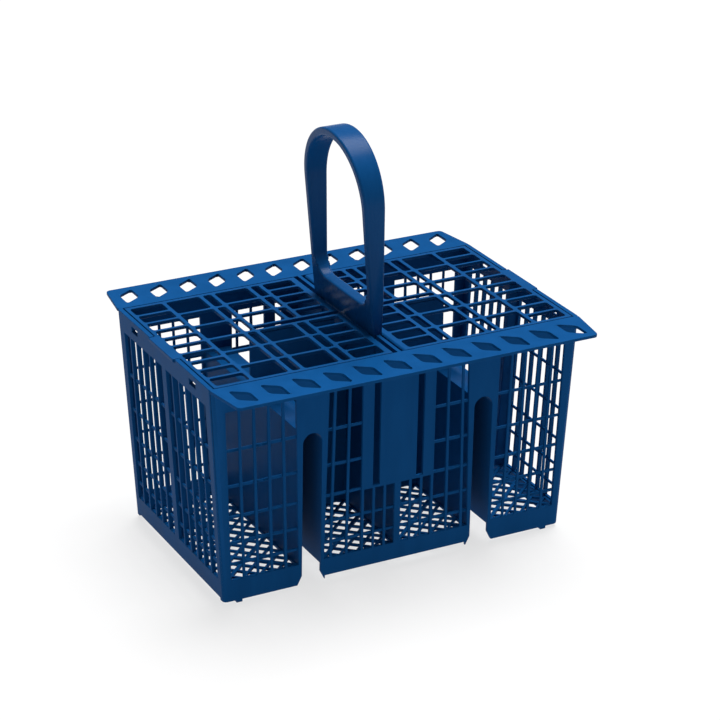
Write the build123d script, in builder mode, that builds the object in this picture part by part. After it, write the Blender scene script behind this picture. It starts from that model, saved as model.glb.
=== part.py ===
from build123d import *
import math
import os

os.makedirs("parts", exist_ok=True)

# Cutlery basket for a dishwasher rack, in millimetres. The origin is on the floor under the middle of the
# basket, X runs along its long front and Z points up.

# Outer form of the moulded body
flange_top = 144.0
skirt_bottom = 2.0
end_skirt_bottom = 3.5
centre_skirt_bottom = 4.5
half_length_top = 124.4
length_draft = 7.7
half_depth_top = 69.8
depth_draft = 3.0
wall = 2.2
corner_radius = 3.0
base_top = 15.3
base_thickness = 2.0

# Flange along each long side, with a row of slanted holes
flange_reach = 28.6
flange_thickness = 2.0
flange_end_taper = 4.5
flange_corner_radius = 3.0
flange_hole_count = 12
flange_hole_pitch = 20.0
flange_hole_width = 10.6
flange_hole_side = 13.5
flange_hole_skew = 6.9

# Lattice of the walls: upright bars outside and level bars behind them, in rows that grow upwards
bar = 1.8
band_height = 15.0
row_count = 6
row_step = 3.1
corner_post_foot = 4.4
corner_post_top = 8.5
outer_columns = 5
inner_columns = 2.5
under_plate_columns = 3
plate_row = 3
plate_half_width = 12.6
plate_slit = 4.6
plate_post = 6.7
end_post = 6.4
end_corner_post = 5.8
end_columns = 6
end_rib_depth = 6.5

# Rim of the end walls
rim_height = 12.1
rim_thickness = 3.0
rim_window_offset = 43.0
rim_window_width = 9.0
rim_window_height = 3.5
rim_window_drop = 4.0

# Tunnels from front to back, and the plain strip of wall around them
channel_offset = 58.3
channel_width = 12.6
channel_top = 103.0
channel_flare = 3.0
channel_flare_height = 6.0
channel_strip_foot = 15.4
channel_strip_top = 20.2

# Inner walls and base lattice
spine_thickness = 2.5
partition = 1.8
base_crossings = 3
base_margin = 0.6
base_bar = 2.4

# Feet under the front and rear skirts
foot_offset = 106.0
foot_width = 4.0
foot_length = 4.0

# Grid lids, given for one side as distances from the spine
lid_thickness = 2.2
lid_clearance = 0.7
lid_inner_edge = 3.4
lid_edge_chamfer = 1.0
lid_border = 2.6
lid_inner_border = 4.8
lid_bar = 2.0
lid_long_bar = 2.6
lid_slot_length = 21.5
lid_wide_cell = 22.3
lid_small_cell = 5.5
lid_slot_rows = 5
lid_cell_rows = 3
lid_slit = 4.6
lid_split_bar = 2.0
lid_whole_columns = 3

# Lid hinge and finger tab
hinge_drop = 2.4
hinge_block = 3.6
hinge_block_length = 3.0
pin_radius = 1.1
pin_clearance = 0.2
pin_length = 2.2
tab_half_width = 18.0
tab_overhang = 1.0
seat_clearance = 0.3

# Handle loop: a strap with a half-round crown, wider and further to one side as it rises, on a solid web
handle_top = 264.0
handle_strap = 5.4
handle_half_width_foot = 40.0
handle_crown_radius = 41.0
handle_bar_top = 160.0
handle_inner_radius = 12.0
strap_half_width_foot = 3.2
strap_knee = 166.0
strap_half_width_knee = 4.6
knee_lean = 0.6
strap_half_width_top = 8.6
handle_lean = 4.6
tongue_thickness = 2.0
tongue_width = 5.4
tongue_inset = 5.0
tongue_length = 12.0
tongue_clearance = 0.1
socket_wall = 1.2
socket_floor = 2.0

# Heights and places worked out from the sizes above
half_length_foot = half_length_top - length_draft
half_depth_foot = half_depth_top - depth_draft
wall_height = flange_top - skirt_bottom
mesh_top = flange_top - band_height
end_mesh_top = flange_top - rim_height
first_row = (mesh_top - base_top) / row_count - row_step * (row_count - 1) / 2
row_levels = [
    base_top - skirt_bottom + first_row * row + row_step * row * (row - 1) / 2
    for row in range(row_count + 1)
]
end_levels = row_levels[:-1] + [end_mesh_top - skirt_bottom]
flange_edge = half_depth_top + flange_reach
channel_arch = channel_top - channel_width / 2
channel_half = channel_width / 2 + wall
inner_mesh_start = plate_half_width + plate_slit + plate_post
end_skirt_reach = half_depth_foot - corner_radius - wall
lid_bottom = flange_top - lid_thickness
lid_half_depth = half_depth_top - wall - lid_clearance
lid_outer_edge = half_length_top - rim_thickness - lid_clearance
inner_wall_top = lid_bottom - seat_clearance
hinge_offset = lid_inner_edge + lid_inner_border / 2
hinge_height = flange_top - hinge_drop
dip_half_length = hinge_offset + hinge_block
dip_bottom = hinge_height - hinge_block
tongue_place = handle_half_width_foot - tongue_inset


def half_length_at(height):
    share = (height - skirt_bottom) / wall_height
    return half_length_foot + (half_length_top - half_length_foot) * share


def half_depth_at(height):
    share = (height - skirt_bottom) / wall_height
    return half_depth_foot + (half_depth_top - half_depth_foot) * share


rim_depth = half_length_at(end_mesh_top) - wall / 2 - half_length_top + rim_thickness

# Lattice stretches: where each starts and ends along its wall at the foot and at the top, its columns and
# its levels. A broken number of columns leaves the last one narrower.
under_plate = (spine_thickness / 2, inner_mesh_start)
long_wall_lattice = (
    (under_plate, under_plate, under_plate_columns, row_levels[:plate_row + 1]),
    (
        (inner_mesh_start, channel_offset - channel_strip_foot / 2),
        (inner_mesh_start, channel_offset - channel_strip_top / 2),
        inner_columns,
        row_levels,
    ),
    (
        (channel_offset + channel_strip_foot / 2, half_length_foot - corner_post_foot),
        (channel_offset + channel_strip_top / 2, half_length_top - corner_post_top),
        outer_columns,
        row_levels,
    ),
)
end_half = ((end_post - bar) / 2, half_depth_foot - end_corner_post)
end_wall_lattice = ((end_half, end_half, end_columns, end_levels),)

# Lid columns from the outer end to the spine, each with its limits and its rows either side of the middle
lid_columns = []
column_end = lid_outer_edge - lid_border
for column_width, column_rows in (
    (lid_slot_length, lid_slot_rows),
    (lid_wide_cell, lid_cell_rows),
    (lid_small_cell, lid_cell_rows),
    (lid_wide_cell, lid_cell_rows),
    (lid_small_cell, lid_cell_rows),
):
    lid_columns.append((column_end - column_width, column_end, column_rows))
    column_end -= column_width + lid_long_bar
lid_columns.append((lid_inner_edge + lid_inner_border, column_end, lid_slot_rows))

# Base zones between the inner walls, each with its own crossed bars
centre_zone = (spine_thickness / 2 + base_margin, channel_offset - channel_half - base_margin)
outer_zone = (channel_offset + channel_half + base_margin, half_length_foot - wall - base_margin)


def wall_plane(along, foot, draft):
    """Plane halfway through a drafted wall: X runs along the wall and Y up its slope from the skirt."""
    outward = Vector(*along).cross(Vector(0, 0, 1))
    slope = outward * draft + Vector(0, 0, wall_height)
    return Plane(
        origin=outward * (foot - wall / 2) + Vector(0, 0, skirt_bottom),
        x_dir=along,
        z_dir=Vector(*along).cross(slope),
    )


def bar_line(foot, top, share, level):
    """Distance from the middle of a wall to a line of bars, which leans with its stretch of lattice."""
    rise = (level - row_levels[0]) / (row_levels[-1] - row_levels[0])
    at_foot = foot[0] + (foot[1] - foot[0]) * share
    at_top = top[0] + (top[1] - top[0]) * share
    return at_foot + (at_top - at_foot) * rise


def slot_pair(foot, top, first, last, low, high):
    """A slot between two lines of bars and two levels, and the same slot beyond the middle of the wall."""
    low += bar / 2
    high -= bar / 2
    corners = [
        (bar_line(foot, top, first, low) + bar / 2, low),
        (bar_line(foot, top, last, low) - bar / 2, low),
        (bar_line(foot, top, last, high) - bar / 2, high),
        (bar_line(foot, top, first, high) + bar / 2, high),
    ]
    Polygon(*corners, align=None)
    Polygon(*[(-place, level) for place, level in reversed(corners)], align=None)


def upright_slots(lattice):
    """Slots between the upright bars of each stretch of lattice."""
    for foot, top, columns, levels in lattice:
        shares = [column / columns for column in range(math.ceil(columns))] + [1]
        for first, last in zip(shares, shares[1:]):
            slot_pair(foot, top, first, last, levels[0], levels[-1])


def level_slots(lattice):
    """Slots between the level bars of each stretch of lattice."""
    for foot, top, columns, levels in lattice:
        for low, high in zip(levels, levels[1:]):
            slot_pair(foot, top, 0, 1, low, high)


def plate_slits():
    """The slits either side of the plain plate, from the lattice under it up to the band."""
    bottom = row_levels[plate_row] + bar / 2
    top = row_levels[row_count] - bar / 2
    with Locations((0, (bottom + top) / 2)):
        with GridLocations(2 * plate_half_width + plate_slit, 1, 2, 1):
            Rectangle(plate_slit, top - bottom)


def rim_windows():
    """The small windows in the rim of an end wall."""
    with Locations((0, wall_height - rim_window_drop - rim_window_height / 2)):
        with GridLocations(2 * rim_window_offset, 1, 2, 1):
            Rectangle(rim_window_width, rim_window_height)


def draft_profile(foot, top):
    """Upright outline of the body seen along a level axis, wider at the flange than at the foot."""
    Polygon((-foot, skirt_bottom), (foot, skirt_bottom), (top, flange_top), (-top, flange_top), align=None)


def base_openings(zone):
    """Openings in one zone of the base and in its twin, between bars that cross it on both diagonals."""
    middle = (zone[0] + zone[1]) / 2
    reach = (zone[1] - zone[0]) / 2
    rise = (half_depth_foot - wall - base_margin) / base_crossings
    half_bar = base_bar / 2 * math.hypot(reach, rise) / reach
    with Locations((-middle, 0), (middle, 0)):
        Rectangle(2 * reach, 2 * rise * base_crossings)
        with GridLocations(1, 2 * rise, 1, base_crossings):
            for slant in (-rise, rise):
                Polygon(
                    (-reach, -slant - half_bar),
                    (reach, slant - half_bar),
                    (reach, slant + half_bar),
                    (-reach, -slant + half_bar),
                    align=None,
                    mode=Mode.SUBTRACT,
                )


def cross_wall(place, thickness, bottom, top):
    """A wall from front to back that ends halfway into the drafted front and rear walls."""
    low = half_depth_at(bottom) - wall / 2
    high = half_depth_at(top) - wall / 2
    with BuildSketch(Plane.YZ.offset(place)) as profile:
        Polygon((-low, bottom), (low, bottom), (high, top), (-high, top), align=None)
    extrude(profile.sketch, amount=thickness / 2, both=True)


def lid_cells(start, end, rows, first_edge, hand):
    """One column of openings in a lid on one side of its middle bar, from a first edge out to the border."""
    pitch = (lid_half_depth - lid_border + lid_bar - first_edge) / rows
    middle = first_edge + (rows * pitch - lid_bar) / 2
    with Locations(((start + end) / 2, hand * middle)):
        with GridLocations(pitch, pitch, 1, rows):
            Rectangle(end - start, pitch - lid_bar, mode=Mode.SUBTRACT)


def loop_outline(inset, bottom, bottom_radius):
    """Closed outline of the handle loop on the YZ plane, set in from the outermost line."""
    foot = handle_half_width_foot - inset
    crown = handle_crown_radius - inset
    spring = handle_top - handle_crown_radius
    with BuildSketch(Plane.YZ) as outline:
        with BuildLine():
            Polyline((-crown, spring), (-foot, bottom), (foot, bottom), (crown, spring))
            ThreePointArc((-crown, spring), (0, handle_top - inset), (crown, spring))
        make_face()
        if bottom_radius:
            fillet(outline.vertices().group_by(Axis.Y)[0], bottom_radius)
    return outline.sketch


with BuildPart() as body:
    # Drafted shell, open at the top and the bottom
    with BuildSketch(Plane.XZ):
        draft_profile(half_length_foot, half_length_top)
    extrude(amount=half_depth_top, both=True)
    with BuildSketch(Plane.YZ):
        draft_profile(half_depth_foot, half_depth_top)
    extrude(amount=half_length_top, both=True, mode=Mode.INTERSECT)
    fillet(body.edges().filter_by(lambda edge: edge.bounding_box().size.Z > wall_height / 2), corner_radius)
    with BuildSketch(Plane.XZ):
        draft_profile(half_length_foot - wall, half_length_top - wall)
    long_room = extrude(amount=half_depth_top, both=True, mode=Mode.PRIVATE)
    with BuildSketch(Plane.YZ):
        draft_profile(half_depth_foot - wall, half_depth_top - wall)
    cross_room = extrude(amount=half_length_top, both=True, mode=Mode.PRIVATE)
    add(long_room & cross_room, mode=Mode.SUBTRACT)

    # Base plate, with its edges halfway into the walls
    with BuildSketch(Plane.XY.offset(base_top - base_thickness)):
        Rectangle(2 * half_length_at(base_top) - wall, 2 * half_depth_at(base_top) - wall)
    extrude(amount=base_thickness)

    # Tunnels: two side walls and a roof each, then the way through with a round top and flared mouths
    for hand in (-1, 1):
        for edge in (-1, 1):
            place = hand * channel_offset + edge * (channel_width + wall) / 2
            cross_wall(place, wall, base_top - base_thickness, channel_top)
        cross_wall(hand * channel_offset, 2 * channel_half, channel_arch, channel_top + wall)
        with BuildSketch(Plane.XZ):
            with Locations((hand * channel_offset, channel_arch)):
                Circle(channel_width / 2)
            with Locations((hand * channel_offset, (channel_arch + skirt_bottom) / 2)):
                Rectangle(channel_width, channel_arch - skirt_bottom)
            with Locations((hand * channel_offset, skirt_bottom)):
                Trapezoid(
                    channel_width + 2 * channel_flare,
                    channel_flare_height,
                    math.degrees(math.atan2(channel_flare_height, channel_flare)),
                    align=(Align.CENTER, Align.MIN),
                )
        extrude(amount=half_depth_top, both=True, mode=Mode.SUBTRACT)

    # Cross wall with the spine along its top, and the lengthwise wall, dipped beside the spine for the lids
    cross_wall(0, spine_thickness, base_top - base_thickness, flange_top)
    with BuildSketch(Plane.XZ):
        for hand in (-1, 1):
            Polygon(
                (0, base_top),
                (hand * (channel_offset - channel_half + wall / 2), base_top),
                (hand * (channel_offset - channel_half + wall / 2), channel_top + wall / 2),
                (hand * (channel_offset + channel_half), channel_top + wall / 2),
                (hand * (channel_offset + channel_half), inner_wall_top),
                (hand * dip_half_length, inner_wall_top),
                (hand * dip_half_length, dip_bottom),
                (0, dip_bottom),
                align=None,
            )
    extrude(amount=partition / 2, both=True)

    # Stiffening rib inside each end wall
    with BuildSketch(Plane.XZ):
        for hand in (-1, 1):
            Polygon(
                (hand * (half_length_at(base_top) - wall / 2), base_top),
                (hand * (half_length_at(base_top) - wall - end_rib_depth), base_top),
                (hand * (half_length_at(inner_wall_top) - wall - end_rib_depth), inner_wall_top),
                (hand * (half_length_at(inner_wall_top) - wall / 2), inner_wall_top),
                align=None,
            )
    extrude(amount=partition / 2, both=True)

    # Thicker rim along the top of each end wall, with a notch for the lid's finger tab
    with BuildSketch(Plane.XY.offset(end_mesh_top)):
        for hand in (-1, 1):
            with Locations((hand * (half_length_top - rim_thickness), 0)):
                Rectangle(
                    rim_depth,
                    2 * (half_depth_top - wall),
                    align=(Align.MIN if hand > 0 else Align.MAX, Align.CENTER),
                )
    extrude(amount=rim_height)
    with Locations((-half_length_top, 0, flange_top), (half_length_top, 0, flange_top)):
        Box(
            2 * (rim_thickness + lid_clearance),
            2 * (tab_half_width + lid_clearance),
            lid_thickness + seat_clearance,
            align=(Align.CENTER, Align.CENTER, Align.MAX),
            mode=Mode.SUBTRACT,
        )

    # Pierced flanges along the long sides
    with BuildSketch(Plane.XY.offset(flange_top - flange_thickness)) as flange:
        Polygon(
            (-half_length_top, wall / 2 - half_depth_top),
            (half_length_top, wall / 2 - half_depth_top),
            (half_length_top - flange_end_taper, -flange_edge),
            (flange_end_taper - half_length_top, -flange_edge),
            align=None,
        )
        fillet(flange.vertices().group_by(Axis.Y)[0], flange_corner_radius)
        with Locations((0, -(half_depth_top + flange_edge) / 2)):
            with GridLocations(flange_hole_pitch, flange_hole_pitch, flange_hole_count, 1):
                Polygon(
                    (-flange_hole_width / 2, (flange_hole_side + flange_hole_skew) / 2),
                    (flange_hole_width / 2, (flange_hole_side - flange_hole_skew) / 2),
                    (flange_hole_width / 2, -(flange_hole_side + flange_hole_skew) / 2),
                    (-flange_hole_width / 2, (flange_hole_skew - flange_hole_side) / 2),
                    align=None,
                    mode=Mode.SUBTRACT,
                )
        mirror(about=Plane.XZ)
    extrude(amount=flange_thickness)

    # Sockets for the handle, let into the spine
    for hand in (-1, 1):
        with Locations((0, hand * tongue_place, flange_top)):
            Box(
                tongue_thickness + 2 * (tongue_clearance + socket_wall),
                tongue_width + 2 * (tongue_clearance + socket_wall),
                tongue_length + seat_clearance + socket_floor,
                align=(Align.CENTER, Align.CENTER, Align.MAX),
            )
            Box(
                tongue_thickness + 2 * tongue_clearance,
                tongue_width + 2 * tongue_clearance,
                tongue_length + seat_clearance,
                align=(Align.CENTER, Align.CENTER, Align.MAX),
                mode=Mode.SUBTRACT,
            )

    # Square hinge holes for the lid pins, beside the spine
    with BuildSketch(Plane.XZ):
        with Locations((-hinge_offset, hinge_height), (hinge_offset, hinge_height)):
            Rectangle(2 * (pin_radius + pin_clearance), 2 * (pin_radius + pin_clearance))
    extrude(amount=half_depth_top, both=True, mode=Mode.SUBTRACT)

    # Lower edge: the end skirts and the middle of the long skirts stop short of the outer skirts
    with Locations((0, 0, skirt_bottom)):
        Box(
            3 * half_length_foot,
            2 * end_skirt_reach,
            end_skirt_bottom - skirt_bottom,
            align=(Align.CENTER, Align.CENTER, Align.MIN),
            mode=Mode.SUBTRACT,
        )
        Box(
            2 * (channel_offset - channel_width / 2 - channel_flare),
            3 * half_depth_foot,
            centre_skirt_bottom - skirt_bottom,
            align=(Align.CENTER, Align.CENTER, Align.MIN),
            mode=Mode.SUBTRACT,
        )
    with BuildSketch(Plane.XY):
        with GridLocations(2 * foot_offset, 2 * half_depth_foot - foot_length - wall / 2, 2, 2):
            Rectangle(foot_width, foot_length)
    extrude(amount=skirt_bottom + wall)

    # Lattice of the base
    with BuildSketch(Plane.XY.offset(base_top)):
        base_openings(centre_zone)
        base_openings(outer_zone)
    extrude(amount=-2 * base_thickness, mode=Mode.SUBTRACT)

    # Lattice of the front and rear walls, with a plain plate between two slits in the middle
    for along in ((1, 0, 0), (-1, 0, 0)):
        with BuildSketch(wall_plane(along, half_depth_foot, depth_draft)):
            upright_slots(long_wall_lattice)
            plate_slits()
        extrude(amount=wall, mode=Mode.SUBTRACT)
        with BuildSketch(wall_plane(along, half_depth_foot, depth_draft)):
            level_slots(long_wall_lattice)
            plate_slits()
        extrude(amount=-wall, mode=Mode.SUBTRACT)

    # Lattice of the end walls, either side of a middle post, with windows in the rim above
    for along in ((0, 1, 0), (0, -1, 0)):
        with BuildSketch(wall_plane(along, half_length_foot, length_draft)):
            upright_slots(end_wall_lattice)
            rim_windows()
        extrude(amount=wall, mode=Mode.SUBTRACT)
        with BuildSketch(wall_plane(along, half_length_foot, length_draft)):
            level_slots(end_wall_lattice)
            rim_windows()
        extrude(amount=-2 * rim_thickness, mode=Mode.SUBTRACT)

with BuildPart() as right_lid:
    # Grid plate with its finger tab, slit beside the middle bar from the spine outwards
    with BuildSketch(Plane.XY.offset(lid_bottom)):
        with Locations((lid_inner_edge, 0)):
            Rectangle(lid_outer_edge - lid_inner_edge, 2 * lid_half_depth, align=(Align.MIN, Align.CENTER))
            Rectangle(
                half_length_top + tab_overhang - lid_inner_edge,
                2 * tab_half_width,
                align=(Align.MIN, Align.CENTER),
            )
        for start, end, rows in lid_columns:
            lid_cells(start, end, rows, lid_bar / 2, -1)
        for start, end, rows in lid_columns[:lid_whole_columns]:
            lid_cells(start, end, rows, lid_bar / 2, 1)
        for start, end, rows in lid_columns[lid_whole_columns:]:
            lid_cells(start, end, rows, lid_bar / 2 + lid_slit + lid_split_bar, 1)
        with Locations((lid_inner_edge, lid_bar / 2)):
            Rectangle(
                lid_columns[lid_whole_columns][1] + lid_long_bar / 2 - lid_inner_edge,
                lid_slit,
                align=(Align.MIN, Align.MIN),
                mode=Mode.SUBTRACT,
            )
    extrude(amount=lid_thickness)
    spine_edges = right_lid.faces().sort_by(Axis.Z)[-1].edges().filter_by(Axis.Y).group_by(Axis.X)[0]
    chamfer(spine_edges, lid_edge_chamfer)

    # Hinge blocks under the corners at the spine, with a stub pin at each end
    for hand in (-1, 1):
        with Locations((hinge_offset, hand * (lid_half_depth - hinge_block_length / 2), lid_bottom)):
            Box(
                hinge_block,
                hinge_block_length,
                hinge_block - lid_thickness / 2,
                align=(Align.CENTER, Align.CENTER, Align.MAX),
            )
        with Locations((hinge_offset, hand * (lid_half_depth + pin_length / 2), hinge_height)):
            Cylinder(pin_radius, pin_length, rotation=(90, 0, 0))

with BuildPart() as left_lid:
    mirror(right_lid.part, about=Plane.YZ)

with BuildPart() as handle:
    # Closed loop of strap on a solid web, trimmed to the width and the lean it has at each height
    outside = loop_outline(0, flange_top, 0)
    extrude(outside, amount=strap_half_width_top + handle_lean, both=True)
    inside = loop_outline(handle_strap, handle_bar_top, handle_inner_radius)
    extrude(inside, amount=strap_half_width_top + handle_lean, both=True, mode=Mode.SUBTRACT)
    with BuildSketch(Plane.XZ):
        Polygon(
            (-strap_half_width_foot, flange_top),
            (strap_half_width_foot, flange_top),
            (strap_half_width_knee - knee_lean, strap_knee),
            (strap_half_width_top - handle_lean, handle_top),
            (-strap_half_width_top - handle_lean, handle_top),
            (-strap_half_width_knee - knee_lean, strap_knee),
            align=None,
        )
    extrude(amount=2 * handle_crown_radius, both=True, mode=Mode.INTERSECT)

    # Tongues under the ends of the web
    with Locations((0, -tongue_place, flange_top), (0, tongue_place, flange_top)):
        Box(tongue_thickness, tongue_width, 2 * tongue_length)

body.part.label = "basket_body"
export_step(body.part, "parts/basket_body.step")
right_lid.part.label = "right_lid"
export_step(right_lid.part, "parts/right_lid.step")
left_lid.part.label = "left_lid"
export_step(left_lid.part, "parts/left_lid.step")
handle.part.label = "handle"
export_step(handle.part, "parts/handle.step")
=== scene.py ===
import bmesh
import bpy
import math
from mathutils import Matrix, Vector
from mathutils.geometry import intersect_point_line


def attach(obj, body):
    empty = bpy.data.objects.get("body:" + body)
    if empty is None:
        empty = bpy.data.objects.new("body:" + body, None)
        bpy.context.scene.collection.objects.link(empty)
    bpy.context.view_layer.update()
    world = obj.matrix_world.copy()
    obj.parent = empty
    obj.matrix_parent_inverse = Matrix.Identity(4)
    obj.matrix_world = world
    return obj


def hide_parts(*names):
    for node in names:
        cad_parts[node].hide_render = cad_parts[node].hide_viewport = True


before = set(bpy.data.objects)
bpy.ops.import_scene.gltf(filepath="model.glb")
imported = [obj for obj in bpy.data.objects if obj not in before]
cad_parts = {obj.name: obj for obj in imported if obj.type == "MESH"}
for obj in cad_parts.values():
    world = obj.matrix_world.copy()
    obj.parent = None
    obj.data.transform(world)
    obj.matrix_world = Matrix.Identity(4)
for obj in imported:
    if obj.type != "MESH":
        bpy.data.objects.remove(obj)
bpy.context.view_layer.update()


# Basket body. The real piece is one injection moulding in blue polypropylene with a satin skin.
# The mould leaves its outer edges and the corners of the flange holes slightly rounded, so the body is a
# merged copy of the solid with those rounded. The lids and the handle have the same kind of finish.
class Shade:
    """A socket in a node tree. Arithmetic on it adds Math nodes, and make() adds any other node."""

    def __init__(self, tree, socket=None):
        self.tree = tree
        self.socket = socket

    def make(self, kind, settings, sockets, output=0):
        node = self.tree.nodes.new(kind)
        for name, value in settings.items():
            if name == "stops":
                for element, (place, colour) in zip(node.color_ramp.elements, value):
                    element.position = place
                    element.color = colour
            else:
                setattr(node, name, value)
        for name, value in sockets.items():
            for part in value if isinstance(value, list) else [value]:
                if isinstance(part, Shade):
                    self.tree.links.new(part.socket, node.inputs[name])
                else:
                    node.inputs[name].default_value = part
        return Shade(self.tree, node.outputs[output] if node.outputs else None)

    def maths(self, operation, first, second=0.0):
        return self.make("ShaderNodeMath", {"operation": operation}, {0: first, 1: second})

    def __add__(self, other):
        return self.maths("ADD", self, other)

    def __radd__(self, other):
        return self.maths("ADD", other, self)

    def __sub__(self, other):
        return self.maths("SUBTRACT", self, other)

    def __rsub__(self, other):
        return self.maths("SUBTRACT", other, self)

    def __mul__(self, other):
        return self.maths("MULTIPLY", self, other)

    def __rmul__(self, other):
        return self.maths("MULTIPLY", other, self)

    def __truediv__(self, other):
        return self.maths("DIVIDE", self, other)

    def __rtruediv__(self, other):
        return self.maths("DIVIDE", other, self)


def moulded_plastic(name, flow_axis, shine, roughness):
    """Blue polypropylene: streaks along the flow of the melt, a fine spark-eroded grain and a satin skin."""
    material = bpy.data.materials.new(name)
    material.use_nodes = True
    tree = material.node_tree
    tree.nodes.clear()
    start = Shade(tree)
    place = start.make("ShaderNodeTexCoord", {}, {}, output="Object")
    stretch = Vector((flow_cells_per_metre, flow_cells_per_metre, flow_cells_per_metre))
    stretch[flow_axis] = flow_cells_per_metre / flow_stretch
    along = start.make("ShaderNodeMapping", {}, {"Vector": place, "Scale": stretch})
    flow = start.make("ShaderNodeTexNoise", {}, {
        "Vector": along, "Scale": 1.0, "Detail": flow_detail, "Roughness": flow_roughness,
    })
    cloud = start.make("ShaderNodeTexNoise", {}, {
        "Vector": place, "Scale": cloud_per_metre, "Detail": cloud_detail,
    })
    grain = start.make("ShaderNodeTexNoise", {}, {
        "Vector": place, "Scale": grain_per_metre, "Detail": grain_detail,
    })
    tone = flow * flow_share + cloud * (1 - flow_share)
    colour = start.make("ShaderNodeValToRGB", {
        "stops": ((deep_tone, deep_blue), (bright_tone, bright_blue)),
    }, {"Fac": tone}, output="Color")
    rough = roughness + (tone - middle_tone) * tone_roughness + (grain - middle_tone) * grain_roughness
    bump = start.make("ShaderNodeBump", {}, {
        "Height": grain, "Strength": grain_strength, "Distance": grain_depth,
    }, output="Normal")
    shader = start.make("ShaderNodeBsdfPrincipled", {}, {
        "Base Color": colour,
        "Roughness": rough,
        "Normal": bump,
        "IOR": plastic_ior,
        "Specular IOR Level": shine,
    })
    start.make("ShaderNodeOutputMaterial", {}, {"Surface": shader})
    return material


def is_flange_hole_corner(edge):
    """True for an upright inner corner of a hole in a flange."""
    first, last = (vertex.co for vertex in edge.verts)
    beyond_wall = min(abs(first.y), abs(last.y)) > flange_root
    return beyond_wall and not edge.is_convex and (first - last).xy.length < merge_distance


def is_outer_edge(edge):
    """True for a sharp edge that stands out between two faces."""
    return len(edge.link_faces) == 2 and edge.is_convex and edge.calc_face_angle() >= sharp_angle


def has_room(edge, radius):
    """True where no other edge of the faces beside an edge is too near for rounding it."""
    first, last = (vertex.co for vertex in edge.verts)
    along = (last - first).normalized()
    for other in {other for face in edge.link_faces for other in face.edges}:
        if set(other.verts) & set(edge.verts):
            continue
        start, end = (vertex.co for vertex in other.verts)
        goes_on = abs((end - start).normalized().dot(along)) > same_way
        for point in (first, (first + last) / 2, last):
            share = intersect_point_line(point, start, end)[1]
            nearest = start.lerp(end, min(max(share, 0.0), 1.0))
            beside = 0.0 <= intersect_point_line(nearest, first, last)[1] <= 1.0
            room = (radii_beside if beside else radii_past_end) * radius
            if (beside or not goes_on) and (point - nearest).length < room:
                return False
    return True


def merged_form(node):
    """The form of a solid, with its loose triangles merged into flat faces."""
    form = bmesh.new()
    form.from_mesh(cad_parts[node].data)
    bmesh.ops.remove_doubles(form, verts=form.verts, dist=merge_distance)
    bmesh.ops.dissolve_limit(form, angle_limit=flat_angle, verts=form.verts, edges=form.edges)
    return form


def round_off(form, edges, radius, steps):
    """Rounds edges of a form to a radius, in a number of steps."""
    bmesh.ops.bevel(
        form, geom=edges, offset=radius, offset_type="OFFSET", segments=steps, profile=round_profile,
        affect="EDGES", clamp_overlap=False,
    )


def rounded_copy(node, name, body, radius, steps):
    """A merged copy of a solid with its edges rounded. It rides on a body and stands for the solid."""
    form = merged_form(node)
    hole_corners = [edge for edge in form.edges if is_flange_hole_corner(edge)]
    round_off(form, hole_corners, hole_corner, hole_corner_steps)
    outer_edges = [edge for edge in form.edges if is_outer_edge(edge) and has_room(edge, radius)]
    round_off(form, outer_edges, radius, steps)
    for face in form.faces:
        face.smooth = True
    mesh = bpy.data.meshes.new(name + "_form")
    form.to_mesh(mesh)
    form.free()
    mesh.set_sharp_from_angle(angle=smooth_angle)
    piece = bpy.data.objects.new(name, mesh)
    bpy.context.scene.collection.objects.link(piece)
    piece.modifiers.new("flat_faces_stay_flat", "WEIGHTED_NORMAL").keep_sharp = True
    graph = bpy.context.evaluated_depsgraph_get()
    piece.data = bpy.data.meshes.new_from_object(piece.evaluated_get(graph))
    piece.data.name = name
    piece.modifiers.clear()
    bpy.data.meshes.remove(mesh)
    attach(piece, body)
    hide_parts(node)
    return piece


merge_distance = 2e-5
flat_angle = math.radians(0.6)
sharp_angle = math.radians(25)
smooth_angle = math.radians(50)
same_way = 0.85
radii_beside = 2.0
radii_past_end = 1.2
round_profile = 0.5
flow_cells_per_metre = 90.0
flow_stretch = 6.0
flow_detail = 4.0
flow_roughness = 0.55
flow_share = 0.6
cloud_per_metre = 22.0
cloud_detail = 2.0
grain_per_metre = 2600.0
grain_detail = 3.0
grain_depth = 0.0001
grain_strength = 0.18
deep_blue = (0.0025, 0.052, 0.172, 1.0)
bright_blue = (0.0040, 0.066, 0.216, 1.0)
deep_tone = 0.3
middle_tone = 0.5
bright_tone = 0.7
tone_roughness = 0.22
grain_roughness = 0.10
plastic_ior = 1.49
skin_roughness = 0.36
upright_flow = 2
body_shine = 0.015
body_edge = 0.0003
body_edge_steps = 2
flange_root = 0.0725
hole_corner = 0.0024
hole_corner_steps = 4

body_finish = moulded_plastic("body_polypropylene", upright_flow, body_shine, skin_roughness)
body = rounded_copy("basket_body", "basket_body_moulding", "basket", body_edge, body_edge_steps)
body.data.materials.append(body_finish)

# Base bars. Between the crossed main bars of the base run finer ones on the same two diagonals. They are
# part of the same moulding, and a node group lays them out over one zone of the base at a time.
def open_layout(name, size_names, on_points=False):
    """A node group that takes named sizes, a finish and, if asked, points, with a shade for each of them."""
    group = bpy.data.node_groups.new(name, "GeometryNodeTree")
    if on_points:
        group.interface.new_socket(name="Points", in_out="INPUT", socket_type="NodeSocketGeometry")
    for label in size_names:
        group.interface.new_socket(name=label, in_out="INPUT", socket_type="NodeSocketFloat")
    group.interface.new_socket(name="Finish", in_out="INPUT", socket_type="NodeSocketMaterial")
    group.interface.new_socket(name="Geometry", in_out="OUTPUT", socket_type="NodeSocketGeometry")
    start = Shade(group)
    given = {
        item.name: start.make("NodeGroupInput", {}, {}, output=item.name)
        for item in group.interface.items_tree
        if item.in_out == "INPUT"
    }
    return group, start, given


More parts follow.
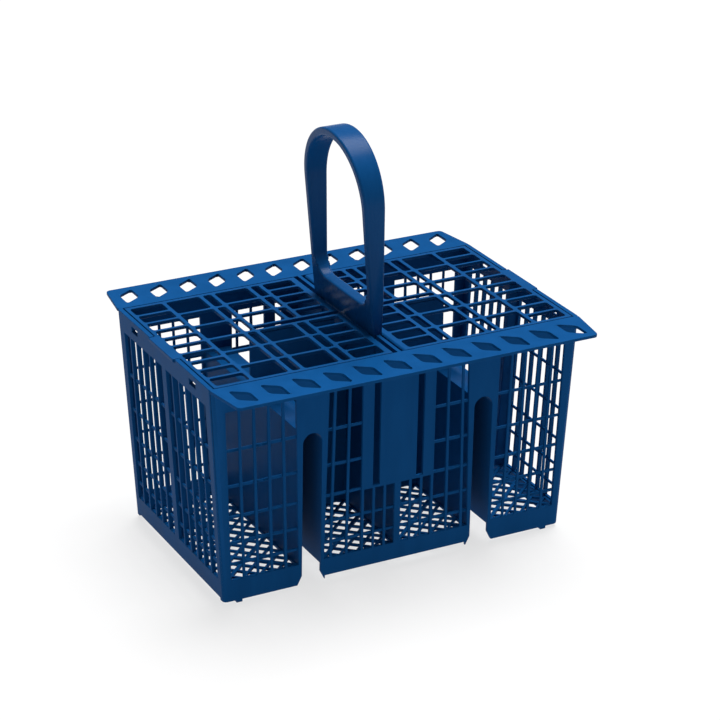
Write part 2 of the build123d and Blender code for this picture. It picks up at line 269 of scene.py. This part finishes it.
def close_layout(start, given, layers):
    """Joins the layers of a layout, makes them real and gives them their finish."""
    joined = start.make("GeometryNodeJoinGeometry", {}, {"Geometry": layers})
    real = start.make("GeometryNodeRealizeInstances", {}, {"Geometry": joined})
    painted = start.make("GeometryNodeSetMaterial", {}, {"Geometry": real, "Material": given["Finish"]})
    start.make("NodeGroupOutput", {}, {"Geometry": painted})


def lay_out(group, values, points=None):
    """The plain mesh that a node group makes from its values and, where it needs them, points."""
    holder = bpy.data.objects.new(group.name, points or bpy.data.meshes.new(group.name))
    bpy.context.scene.collection.objects.link(holder)
    layout = holder.modifiers.new("layout", "NODES")
    layout.node_group = group
    for item in group.interface.items_tree:
        if item.in_out == "INPUT" and item.name in values:
            layout[item.identifier] = values[item.name]
    graph = bpy.context.evaluated_depsgraph_get()
    mesh = bpy.data.meshes.new_from_object(holder.evaluated_get(graph))
    holder.modifiers.clear()
    bpy.data.objects.remove(holder)
    return mesh


def moulded_on(name, body, mesh):
    """A piece that a layout has made and that is moulded on to a body."""
    piece = bpy.data.objects.new(name, mesh)
    bpy.context.scene.collection.objects.link(piece)
    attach(piece, body)


unit_size = (1.0, 1.0, 1.0)
bar_width = 0.0016
bar_height = 0.0015
layer_step = 0.0002
bar_level = 0.0143
bars_per_direction = 15
main_bar_every = 4
zone_half_depth = 0.0640
bar_end = 0.0004
base_crossings = 3
base_zones = ((-0.1139, -0.0674), (-0.0492, -0.00185), (0.00185, 0.0492), (0.0674, 0.1139))
base_sizes = (
    "Middle", "Half Width", "Half Depth", "Spacing", "Slope", "Bar Width", "Bar Height", "Level",
)
base_layout, start, given = open_layout("fine_base_bars", base_sizes)
bar = start.make("GeometryNodeMeshCube", {}, {"Size": unit_size})
number = start.make("GeometryNodeInputIndex", {}, {})
layers = []
for side in (-1, 1):
    crossing = (number - (bars_per_direction - 1) / 2) * given["Spacing"]
    low = (-side * crossing - given["Half Depth"]) / given["Slope"]
    high = (given["Half Depth"] - side * crossing) / given["Slope"]
    low = start.maths("MAXIMUM", low, -1 * given["Half Width"])
    high = start.maths("MINIMUM", high, given["Half Width"])
    centre = (low + high) / 2
    stretch = start.maths("SQRT", given["Slope"] * given["Slope"] + 1)
    place = start.make("ShaderNodeCombineXYZ", {}, {
        "X": given["Middle"] + centre,
        "Y": crossing + side * given["Slope"] * centre,
        "Z": given["Level"] + side * layer_step,
    })
    turn = start.make("ShaderNodeCombineXYZ", {}, {
        "Z": start.maths("ARCTANGENT", side * given["Slope"]),
    })
    size = start.make("ShaderNodeCombineXYZ", {}, {
        "X": (high - low) * stretch, "Y": given["Bar Width"], "Z": given["Bar Height"],
    })
    line = start.make("GeometryNodeMeshLine", {}, {"Count": bars_per_direction})
    points = start.make("GeometryNodeSetPosition", {}, {"Geometry": line, "Position": place})
    between_main = start.maths("MODULO", number + 1, main_bar_every)
    layers.append(start.make("GeometryNodeInstanceOnPoints", {}, {
        "Points": points, "Selection": between_main, "Instance": bar, "Rotation": turn, "Scale": size,
    }))
close_layout(start, given, layers)
all_bars = bmesh.new()
for inside, outside in base_zones:
    half_width = (outside - inside) / 2
    rise = zone_half_depth / base_crossings
    all_bars.from_mesh(lay_out(base_layout, {
        "Middle": (inside + outside) / 2,
        "Half Width": half_width + bar_end,
        "Half Depth": zone_half_depth + bar_end,
        "Spacing": 2 * rise / main_bar_every,
        "Slope": rise / half_width,
        "Bar Width": bar_width,
        "Bar Height": bar_height,
        "Level": bar_level,
        "Finish": body_finish,
    }))
bar_mesh = bpy.data.meshes.new("base_bars")
all_bars.to_mesh(bar_mesh)
all_bars.free()
bar_mesh.materials.append(body_finish)
moulded_on("base_bars", "basket", bar_mesh)

# End wall ribs. Each upright bar of the two end walls is backed by a rib, which keeps the long bar stiff.
# The ribs are part of the body moulding and lean with the end walls.
ribs_each_side = 5
first_rib = 0.01208
rib_pitch = 0.009785
rib_width = 0.0017
rib_front = 0.0009
rib_back = 0.0027
rib_foot = 0.0150
rib_top = 0.1313
end_wall_top = 0.1244
end_wall_top_level = 0.1440
end_wall_lean = math.radians(3.1)
rib_sizes = ("Reach", "Level", "First Rib", "Pitch", "Rib Width", "Rib Depth", "Rib Length", "Lean")
rib_layout, start, given = open_layout("end_wall_ribs", rib_sizes)
rib = start.make("GeometryNodeMeshCube", {}, {"Size": unit_size})
size = start.make("ShaderNodeCombineXYZ", {}, {
    "X": given["Rib Depth"], "Y": given["Rib Width"], "Z": given["Rib Length"],
})
rows = []
for hand in (-1, 1):
    turn = start.make("ShaderNodeCombineXYZ", {}, {"Y": hand * given["Lean"]})
    for side in (-1, 1):
        place = start.make("ShaderNodeCombineXYZ", {}, {
            "X": hand * given["Reach"], "Y": side * given["First Rib"], "Z": given["Level"],
        })
        step = start.make("ShaderNodeCombineXYZ", {}, {"Y": side * given["Pitch"]})
        line = start.make("GeometryNodeMeshLine", {}, {
            "Count": ribs_each_side, "Start Location": place, "Offset": step,
        })
        rows.append(start.make("GeometryNodeInstanceOnPoints", {}, {
            "Points": line, "Instance": rib, "Rotation": turn, "Scale": size,
        }))
close_layout(start, given, rows)
rib_level = (rib_foot + rib_top) / 2
end_wall_reach = end_wall_top - math.tan(end_wall_lean) * (end_wall_top_level - rib_level)
moulded_on("end_wall_ribs", "basket", lay_out(rib_layout, {
    "Reach": end_wall_reach - (rib_front + rib_back) / 2,
    "Level": rib_level,
    "First Rib": first_rib,
    "Pitch": rib_pitch,
    "Rib Width": rib_width,
    "Rib Depth": rib_back - rib_front,
    "Rib Length": rib_top - rib_foot,
    "Lean": end_wall_lean,
    "Finish": body_finish,
}))

# Lids. Each is a thin grid in the same plastic, moulded flat and snapped between the long walls by its
# stub pins. The melt runs along the grid, and the bars and the corners of the cells are rounded. A node
# group puts a fillet in each corner.
def cell_corners(node, radius):
    """A point in the middle of each upright corner of a lid's cells, with its turn and its height."""
    grid = merged_form(node)
    places = []
    turns = []
    heights = []
    for edge in grid.edges:
        low, high = sorted((vertex.co for vertex in edge.verts), key=lambda place: place.z)
        upright = (high - low).xy.length < merge_distance
        if edge.is_convex or not upright or not has_room(edge, radius):
            continue
        first, second = ((face.calc_center_median() - low).xy for face in edge.link_faces)
        ahead = first if first.cross(second) > 0 else second
        places.append((low + high) / 2)
        turns.append(math.atan2(ahead.y, ahead.x))
        heights.append(high.z - low.z)
    grid.free()
    mesh = bpy.data.meshes.new(node + "_corners")
    mesh.from_pydata(places, [], [])
    mesh.attributes.new("turn", "FLOAT", "POINT").data.foreach_set("value", turns)
    mesh.attributes.new("height", "FLOAT", "POINT").data.foreach_set("value", heights)
    return mesh


lengthwise_flow = 0
lid_shine = 0.03
lid_edge = 0.0004
lid_edge_steps = 3
cell_corner = 0.0018
fillet_sink = 0.0002
fillet_steps = 4
fillet_layout, start, given = open_layout("cell_fillets", ("Corner Radius", "Sink"), on_points=True)
radius = given["Corner Radius"]
sink = given["Sink"]
block = start.make("GeometryNodeMeshCube", {}, {"Size": unit_size, "Vertices X": fillet_steps + 1})
place = start.make("GeometryNodeInputPosition", {}, {})
along, across, level = (
    start.make("ShaderNodeSeparateXYZ", {}, {"Vector": place}, output=axis) for axis in ("X", "Y", "Z")
)

# The front of the block follows the hollow of a fillet, and its back is buried in the two bars that meet.
turn = (along + unit_size[0] / 2) * (math.pi / 2)
hollow_x = radius * (1 - start.maths("SINE", turn))
hollow_y = radius * (1 - start.maths("COSINE", turn))
buried_x = start.maths("MAXIMUM", -1 * sink, radius - (radius + sink) * (1 + 2 * along))
buried_y = start.maths("MAXIMUM", -1 * sink, radius - (radius + sink) * (1 - 2 * along))
is_back = start.maths("GREATER_THAN", across, 0.0)
fillet_place = start.make("ShaderNodeCombineXYZ", {}, {
    "X": is_back * buried_x + (1 - is_back) * hollow_x,
    "Y": is_back * buried_y + (1 - is_back) * hollow_y,
    "Z": level,
})
fillet = start.make("GeometryNodeSetPosition", {}, {"Geometry": block, "Position": fillet_place})
corner_turn, corner_height = (
    start.make(
        "GeometryNodeInputNamedAttribute", {"data_type": "FLOAT"}, {"Name": label}, output="Attribute"
    )
    for label in ("turn", "height")
)
turn = start.make("ShaderNodeCombineXYZ", {}, {"Z": corner_turn})
size = start.make("ShaderNodeCombineXYZ", {}, {"X": 1.0, "Y": 1.0, "Z": corner_height - 2 * sink})
close_layout(start, given, [start.make("GeometryNodeInstanceOnPoints", {}, {
    "Points": given["Points"], "Instance": fillet, "Rotation": turn, "Scale": size,
})])
lid_finish = moulded_plastic("lid_polypropylene", lengthwise_flow, lid_shine, skin_roughness)
for side in ("left", "right"):
    lid = rounded_copy(side + "_lid", side + "_lid_grid", side + "_cover", lid_edge, lid_edge_steps)
    lid.data.materials.append(lid_finish)
    moulded_on(side + "_lid_fillets", side + "_cover", lay_out(fillet_layout, {
        "Corner Radius": cell_corner,
        "Sink": fillet_sink,
        "Finish": lid_finish,
    }, cell_corners(side + "_lid", cell_corner)))

# Handle. A stiff loop in the same plastic, moulded with well rounded edges and wide enough at the top to
# carry in a wet hand. It stands on the spine and is held by its two tongues.
handle_shine = 0.06
handle_roughness = 0.27
handle_edge = 0.0016
handle_edge_steps = 4
handle_finish = moulded_plastic("handle_polypropylene", upright_flow, handle_shine, handle_roughness)
handle = rounded_copy("handle", "carrying_handle", "basket", handle_edge, handle_edge_steps)
handle.data.materials.append(handle_finish)

# Floor. A plain pale light table that the basket stands on, one wide flat sheet with a dull surface.
# It is lit from below, so that the basket's shadow on it stays pale.
floor_half = 6.0
floor_corners = ((-1, -1), (1, -1), (1, 1), (-1, 1))
floor_grey = (0.2, 0.2, 0.2, 1.0)
floor_white = (1.0, 1.0, 1.0, 1.0)
floor_glow = 0.7
floor_roughness = 0.9
floor_shine = 0.1
floor_mesh = bpy.data.meshes.new("studio_floor")
floor_mesh.from_pydata([(x * floor_half, y * floor_half, 0) for x, y in floor_corners], [], [(0, 1, 2, 3)])
floor = bpy.data.objects.new("studio_floor", floor_mesh)
bpy.context.scene.collection.objects.link(floor)
floor_paint = bpy.data.materials.new("floor_paint")
floor_paint.use_nodes = True
floor_shader = floor_paint.node_tree.nodes["Principled BSDF"]
floor_shader.inputs["Base Color"].default_value = floor_grey
floor_shader.inputs["Emission Color"].default_value = floor_white
floor_shader.inputs["Emission Strength"].default_value = floor_glow
floor_shader.inputs["Roughness"].default_value = floor_roughness
floor_shader.inputs["Specular IOR Level"].default_value = floor_shine
floor_mesh.materials.append(floor_paint)

# Studio light. A broad soft light from above, a little behind and to the right, as even as a light tent.
# The white surroundings are much dimmer and fill the shaded sides.
surroundings_white = (1.0, 1.0, 1.0, 1.0)
surroundings_strength = 0.2
tent_strength = 5.0
tent_spread = math.radians(40)
tent_direction = Vector((-0.25, -0.2, -0.95))
world = bpy.data.worlds.new("studio")
bpy.context.scene.world = world
world.use_nodes = True
surroundings = world.node_tree.nodes["Background"]
surroundings.inputs["Color"].default_value = surroundings_white
surroundings.inputs["Strength"].default_value = surroundings_strength
tent = bpy.data.lights.new("light_tent", "SUN")
tent.energy = tent_strength
tent.angle = tent_spread
lamp = bpy.data.objects.new("light_tent", tent)
lamp.rotation_mode = "QUATERNION"
lamp.rotation_quaternion = tent_direction.to_track_quat("-Z", "Y")
bpy.context.scene.collection.objects.link(lamp)
bpy.context.scene.view_settings.view_transform = "Standard"

# Camera. It looks down on the basket's front left corner from the photograph's place, through a long lens.
# It is rolled slightly, and aims a little up and to the right of the basket's middle, as the photograph does.
azimuth = math.radians(-27.641)
elevation = math.radians(23.713)
roll = math.radians(0.448)
distance = 1.6306
basket_middle = Vector((0, 0, 0.065))
aim_right = 0.008166
aim_up = 0.042876
focal_length = 129.85
sensor_width = 36.0
level_back = Vector((math.sin(azimuth), -math.cos(azimuth), 0))
back = level_back * math.cos(elevation) + Vector((0, 0, math.sin(elevation)))
right = Vector((math.cos(azimuth), math.sin(azimuth), 0))
up = back.cross(right)
turned_right = math.cos(roll) * right + math.sin(roll) * up
turned_up = math.cos(roll) * up - math.sin(roll) * right
eye = basket_middle + turned_right * aim_right + turned_up * aim_up + back * distance
facing = Matrix((turned_right, turned_up, back)).transposed().to_4x4()
camera_data = bpy.data.cameras.new("photo_camera")
camera_data.lens = focal_length
camera_data.sensor_width = sensor_width
camera = bpy.data.objects.new("photo_camera", camera_data)
camera.matrix_world = Matrix.Translation(eye) @ facing
bpy.context.scene.collection.objects.link(camera)
bpy.context.scene.camera = camera
